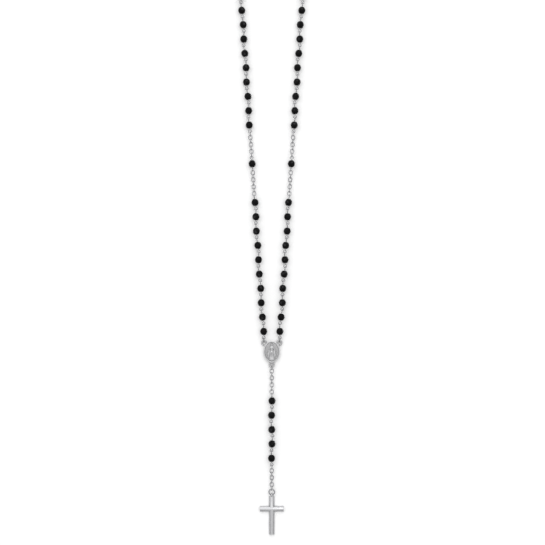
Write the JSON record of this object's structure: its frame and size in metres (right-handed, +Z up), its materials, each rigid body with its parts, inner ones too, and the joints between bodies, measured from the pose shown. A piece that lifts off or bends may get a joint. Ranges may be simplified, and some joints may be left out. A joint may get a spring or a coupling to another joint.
{
  "type": "rosary",
  "caption": "Rosary laid flat: black faceted beads on linked silver eye pins with short chains, an oval relief centrepiece and a pendant ending in a plain half-round cross.",
  "frame": {"origin": "on the surface the rosary lies on, under the middle of the whole piece", "axes": "+Z up from the surface, towards the front of the centrepiece and cross; +Y along the piece from the cross to the top of the loop; +X across it"},
  "size_m": [0.043, 0.3641, 0.004],
  "materials": {
    "black_glass": "fire-polished facets, opaque black",
    "silver": "polished silver plate with light wear"
  },
  "bodies": {
    "centrepiece": {"centrepiece": "silver"},
    "pendant_ear_link": {"pendant_ear_link": "silver"},
    "pendant_chain": {"pendant_chain": "silver"},
    "pendant_top": {"pendant_top_bead": "black_glass", "pendant_top_pin": "silver"},
    "pendant_middle": {"pendant_middle_beads": "black_glass", "pendant_middle_pins": "silver"},
    "pendant_bottom": {"pendant_bottom_bead": "black_glass", "pendant_bottom_pin": "silver"},
    "cross_chain": {"cross_chain": "silver"},
    "jump_ring": {"jump_ring": "silver"},
    "cross": {"cross": "silver"},
    "left_ear_link": {"left_ear_link": "silver"},
    "decade_1_a": {"decade_1_a_beads": "black_glass", "decade_1_a_pins": "silver"},
    "decade_1_b": {"decade_1_b_beads": "black_glass", "decade_1_b_pins": "silver"},
    "decade_1_c": {"decade_1_c_beads": "black_glass", "decade_1_c_pins": "silver"},
    "chain_1": {"chain_1": "silver"},
    "our_father_1": {"our_father_1_bead": "black_glass", "our_father_1_pin": "silver"},
    "chain_2": {"chain_2": "silver"},
    "decade_2_a": {"decade_2_a_beads": "black_glass", "decade_2_a_pins": "silver"},
    "decade_2_b": {"decade_2_b_beads": "black_glass", "decade_2_b_pins": "silver"},
    "decade_2_c": {"decade_2_c_beads": "black_glass", "decade_2_c_pins": "silver"},
    "chain_3": {"chain_3": "silver"},
    "our_father_2": {"our_father_2_bead": "black_glass", "our_father_2_pin": "silver"},
    "chain_4": {"chain_4": "silver"},
    "decade_3_a": {"decade_3_a_beads": "black_glass", "decade_3_a_pins": "silver"},
    "right_ear_link": {"right_ear_link": "silver"},
    "decade_5_c": {"decade_5_c_beads": "black_glass", "decade_5_c_pins": "silver"},
    "decade_5_b": {"decade_5_b_beads": "black_glass", "decade_5_b_pins": "silver"},
    "decade_5_a": {"decade_5_a_beads": "black_glass", "decade_5_a_pins": "silver"},
    "chain_8": {"chain_8": "silver"},
    "our_father_4": {"our_father_4_bead": "black_glass", "our_father_4_pin": "silver"},
    "chain_7": {"chain_7": "silver"},
    "decade_4_c": {"decade_4_c_beads": "black_glass", "decade_4_c_pins": "silver"},
    "decade_4_b": {"decade_4_b_beads": "black_glass", "decade_4_b_pins": "silver"},
    "decade_4_a": {"decade_4_a_beads": "black_glass", "decade_4_a_pins": "silver"},
    "chain_6": {"chain_6": "silver"},
    "our_father_3": {"our_father_3_bead": "black_glass", "our_father_3_pin": "silver"},
    "chain_5": {"chain_5": "silver"},
    "decade_3_c": {"decade_3_c_beads": "black_glass", "decade_3_c_pins": "silver"},
    "decade_3_b": {"decade_3_b_beads": "black_glass", "decade_3_b_pins": "silver"}
  },
  "joints": [
    {"name": "pendant_ear_link_fold", "type": "hinge", "parent": "centrepiece", "child": "pendant_ear_link", "pos_m": [0, -0.09005, 0.0009], "axis": [-1, 0, 0], "range_deg": [-100, 100]},
    {"name": "pendant_chain_fold", "type": "hinge", "parent": "pendant_ear_link", "child": "pendant_chain", "pos_m": [0.0001, -0.09089, 0.00202], "axis": [0.9953, -0.0973, 0], "range_deg": [-100, 80]},
    {"name": "pendant_top_sideways", "type": "hinge", "parent": "pendant_chain", "child": "pendant_top", "pos_m": [0.00003, -0.10429, 0.002], "axis": [0, 0, 1], "range_deg": [-60, 60]},
    {"name": "pendant_middle_sideways", "type": "hinge", "parent": "pendant_top", "child": "pendant_middle", "pos_m": [0.00019, -0.11217, 0.002], "axis": [0, 0, -1], "range_deg": [-60, 60]},
    {"name": "pendant_bottom_fold", "type": "hinge", "parent": "pendant_middle", "child": "pendant_bottom", "pos_m": [-0.00025, -0.13638, 0.002], "axis": [-0.9966, 0.0827, 0], "range_deg": [-100, 100]},
    {"name": "cross_chain_fold", "type": "hinge", "parent": "pendant_bottom", "child": "cross_chain", "pos_m": [-0.00002, -0.14426, 0.002], "axis": [0.9997, 0.0255, 0], "range_deg": [-100, 100]},
    {"name": "jump_ring_fold", "type": "hinge", "parent": "cross_chain", "child": "jump_ring", "pos_m": [0, -0.15707, 0.0012], "axis": [-1, 0, 0], "range_deg": [-100, 100]},
    {"name": "cross_fold", "type": "hinge", "parent": "jump_ring", "child": "cross", "pos_m": [0, -0.16017, 0.0012], "axis": [1, 0, 0], "range_deg": [-100, 100]},
    {"name": "left_ear_link_fold", "type": "hinge", "parent": "centrepiece", "child": "left_ear_link", "pos_m": [-0.0043, -0.07547, 0.0009], "axis": [0.9978, 0.0663, 0], "range_deg": [-100, 100]},
    {"name": "decade_1_a_fold", "type": "hinge", "parent": "left_ear_link", "child": "decade_1_a", "pos_m": [-0.00445, -0.07464, 0.002], "axis": [-1, 0.0001, 0], "range_deg": [-100, 75]},
    {"name": "decade_1_b_sideways", "type": "hinge", "parent": "decade_1_a", "child": "decade_1_b", "pos_m": [-0.00586, -0.05047, 0.002], "axis": [0, 0, 1], "range_deg": [0, 60]},
    {"name": "decade_1_c_fold", "type": "hinge", "parent": "decade_1_b", "child": "decade_1_c", "pos_m": [-0.00816, -0.0196, 0.002], "axis": [0.9976, 0.0686, 0], "range_deg": [-100, 100]},
    {"name": "chain_1_fold", "type": "hinge", "parent": "decade_1_c", "child": "chain_1", "pos_m": [-0.0097, 0.00399, 0.00202], "axis": [-0.9998, 0.0185, 0], "range_deg": [-100, 100]},
    {"name": "our_father_1_sideways", "type": "hinge", "parent": "chain_1", "child": "our_father_1", "pos_m": [-0.01038, 0.01737, 0.002], "axis": [0, 0, 1], "range_deg": [0, 60]},
    {"name": "chain_2_fold", "type": "hinge", "parent": "our_father_1", "child": "chain_2", "pos_m": [-0.01114, 0.02579, 0.002], "axis": [0.9959, 0.0906, 0], "range_deg": [-100, 100]},
    {"name": "decade_2_a_fold", "type": "hinge", "parent": "chain_2", "child": "decade_2_a", "pos_m": [-0.01181, 0.0386, 0.002], "axis": [-0.9922, -0.1247, 0], "range_deg": [-100, 100]},
    {"name": "decade_2_b_sideways", "type": "hinge", "parent": "decade_2_a", "child": "decade_2_b", "pos_m": [-0.01371, 0.06274, 0.002], "axis": [0, 0, 1], "range_deg": [0, 60]},
    {"name": "decade_2_c_fold", "type": "hinge", "parent": "decade_2_b", "child": "decade_2_c", "pos_m": [-0.01525, 0.09366, 0.002], "axis": [0.9954, 0.096, 0], "range_deg": [-100, 100]},
    {"name": "chain_3_fold", "type": "hinge", "parent": "decade_2_c", "child": "chain_3", "pos_m": [-0.01695, 0.11724, 0.00202], "axis": [-0.986, -0.1667, 0], "range_deg": [-100, 100]},
    {"name": "our_father_2_fold", "type": "hinge", "parent": "chain_3", "child": "our_father_2", "pos_m": [-0.01808, 0.13116, 0.00202], "axis": [0.9969, 0.0781, 0], "range_deg": [-100, 100]},
    {"name": "chain_4_fold", "type": "hinge", "parent": "our_father_2", "child": "chain_4", "pos_m": [-0.01843, 0.13903, 0.002], "axis": [-0.9989, -0.0463, 0], "range_deg": [-100, 100]},
    {"name": "decade_3_a_fold", "type": "hinge", "parent": "chain_4", "child": "decade_3_a", "pos_m": [-0.01942, 0.15183, 0.002], "axis": [0.9998, 0.02, 0], "range_deg": [-100, 100]},
    {"name": "right_ear_link_fold", "type": "hinge", "parent": "centrepiece", "child": "right_ear_link", "pos_m": [0.0043, -0.07547, 0.0009], "axis": [0.9978, -0.0663, 0], "range_deg": [-100, 100]},
    {"name": "decade_5_c_fold", "type": "hinge", "parent": "right_ear_link", "child": "decade_5_c", "pos_m": [0.00445, -0.07464, 0.002], "axis": [-1, -0.0001, 0], "range_deg": [-100, 75]},
    {"name": "decade_5_b_sideways", "type": "hinge", "parent": "decade_5_c", "child": "decade_5_b", "pos_m": [0.00586, -0.05047, 0.002], "axis": [0, 0, -1], "range_deg": [0, 60]},
    {"name": "decade_5_a_fold", "type": "hinge", "parent": "decade_5_b", "child": "decade_5_a", "pos_m": [0.00816, -0.0196, 0.002], "axis": [0.9976, -0.0686, 0], "range_deg": [-100, 100]},
    {"name": "chain_8_fold", "type": "hinge", "parent": "decade_5_a", "child": "chain_8", "pos_m": [0.0097, 0.00399, 0.00202], "axis": [-0.9998, -0.0185, 0], "range_deg": [-100, 100]},
    {"name": "our_father_4_sideways", "type": "hinge", "parent": "chain_8", "child": "our_father_4", "pos_m": [0.01038, 0.01737, 0.002], "axis": [0, 0, -1], "range_deg": [0, 60]},
    {"name": "chain_7_fold", "type": "hinge", "parent": "our_father_4", "child": "chain_7", "pos_m": [0.01114, 0.02579, 0.002], "axis": [0.9959, -0.0906, 0], "range_deg": [-100, 100]},
    {"name": "decade_4_c_fold", "type": "hinge", "parent": "chain_7", "child": "decade_4_c", "pos_m": [0.01181, 0.0386, 0.002], "axis": [-0.9922, 0.1247, 0], "range_deg": [-100, 100]},
    {"name": "decade_4_b_sideways", "type": "hinge", "parent": "decade_4_c", "child": "decade_4_b", "pos_m": [0.01371, 0.06274, 0.002], "axis": [0, 0, -1], "range_deg": [0, 60]},
    {"name": "decade_4_a_fold", "type": "hinge", "parent": "decade_4_b", "child": "decade_4_a", "pos_m": [0.01525, 0.09366, 0.002], "axis": [0.9954, -0.096, 0], "range_deg": [-100, 100]},
    {"name": "chain_6_fold", "type": "hinge", "parent": "decade_4_a", "child": "chain_6", "pos_m": [0.01695, 0.11724, 0.00202], "axis": [-0.986, 0.1667, 0], "range_deg": [-100, 100]},
    {"name": "our_father_3_fold", "type": "hinge", "parent": "chain_6", "child": "our_father_3", "pos_m": [0.01808, 0.13116, 0.00202], "axis": [0.9969, -0.0781, 0], "range_deg": [-100, 100]},
    {"name": "chain_5_fold", "type": "hinge", "parent": "our_father_3", "child": "chain_5", "pos_m": [0.01843, 0.13903, 0.002], "axis": [-0.9989, 0.0463, 0], "range_deg": [-100, 100]},
    {"name": "decade_3_c_fold", "type": "hinge", "parent": "chain_5", "child": "decade_3_c", "pos_m": [0.01942, 0.15183, 0.002], "axis": [0.9998, -0.02, 0], "range_deg": [-100, 100]},
    {"name": "decade_3_b_fold", "type": "hinge", "parent": "decade_3_c", "child": "decade_3_b", "pos_m": [0.01462, 0.17399, 0.002], "axis": [-0.6196, -0.7849, 0], "range_deg": [-100, 100]}
  ]
}
